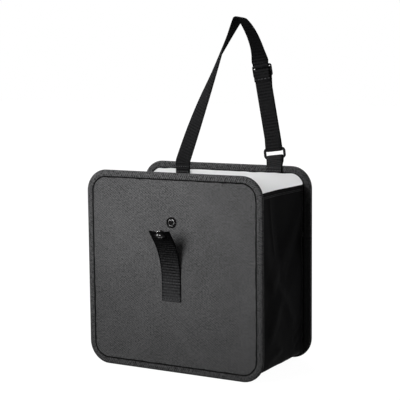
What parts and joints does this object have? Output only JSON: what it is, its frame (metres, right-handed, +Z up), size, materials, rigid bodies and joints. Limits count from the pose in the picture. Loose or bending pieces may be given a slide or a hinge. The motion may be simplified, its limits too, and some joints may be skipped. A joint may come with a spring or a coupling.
{
  "type": "car trash bin",
  "caption": "Foldable fabric car trash bin: two stiff taped square panels, a creased cloth gusset, a pale lining, an adjustable hanging strap and a snap tab on the front.",
  "frame": {"origin": "centre of the back panel's rear face, the face that lies against a seat back", "axes": "+Z up, +Y out of the back panel's rear face, -Y towards the front panel, +X to the right seen from the front"},
  "size_m": [0.23, 0.1721, 0.4059],
  "materials": {
    "cover_cloth": "dark grey woven cloth with a fine diagonal twill",
    "stiffener": "plain stiff board, hidden",
    "lining_film": "pale grey coated film, satin",
    "edge_tape": "black ribbed edge tape",
    "gusset_cloth": "black thin cloth",
    "webbing": "black ribbed webbing",
    "buckle_plastic": "black moulded plastic",
    "snap_metal": "black lacquered metal"
  },
  "bodies": {
    "back": {"back_cover": "cover_cloth", "back_board": "stiffener", "back_lining": "lining_film", "back_binding": "edge_tape", "gusset": "gusset_cloth", "gusset_lining": "lining_film", "hanging_strap": "webbing", "ring_tab": "webbing", "ring": "buckle_plastic"},
    "front": {"front_cover": "cover_cloth", "front_board": "stiffener", "front_lining": "lining_film", "front_binding": "edge_tape", "front_tab": "webbing", "snap_cap": "snap_metal", "snap_socket": "snap_metal", "snap_stud": "snap_metal", "snap_post": "snap_metal"},
    "slider": {"slider": "buckle_plastic"}
  },
  "joints": [
    {"name": "fold_flat", "type": "slide", "parent": "back", "child": "front", "axis": [0, 1, 0], "range_m": [0, 0.11], "deforming": ["gusset", "gusset_lining"]},
    {"name": "slider_travel", "type": "slide", "parent": "back", "child": "slider", "axis": [0.1621, 0, -0.9868], "range_m": [0, 0.065], "deforming": ["hanging_strap"]}
  ]
}
